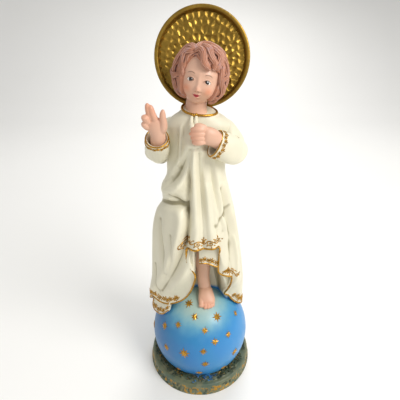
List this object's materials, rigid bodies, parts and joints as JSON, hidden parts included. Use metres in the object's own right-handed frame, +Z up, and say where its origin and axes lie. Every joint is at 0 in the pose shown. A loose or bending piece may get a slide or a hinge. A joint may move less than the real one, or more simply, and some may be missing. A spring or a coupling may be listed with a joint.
{
  "type": "child jesus statue",
  "caption": "Painted resin statue of a robed child with one hand raised, standing barefoot on a starred globe set in a round mossy base, with a dished hammered halo behind the head.",
  "frame": {"origin": "centre of the round base on its underside", "axes": "+Z up, the child faces -Y, +X towards the child's left hand"},
  "size_m": [0.126, 0.126, 0.3981],
  "materials": {
    "painted_resin": "hand painted satin resin: cream robe, gold trims, blue globe, green base",
    "halo_metal": "hammered and aged, with a plain brushed rim"
  },
  "bodies": {
    "root": {"statue": "painted_resin", "halo": "halo_metal"}
  },
  "joints": []
}
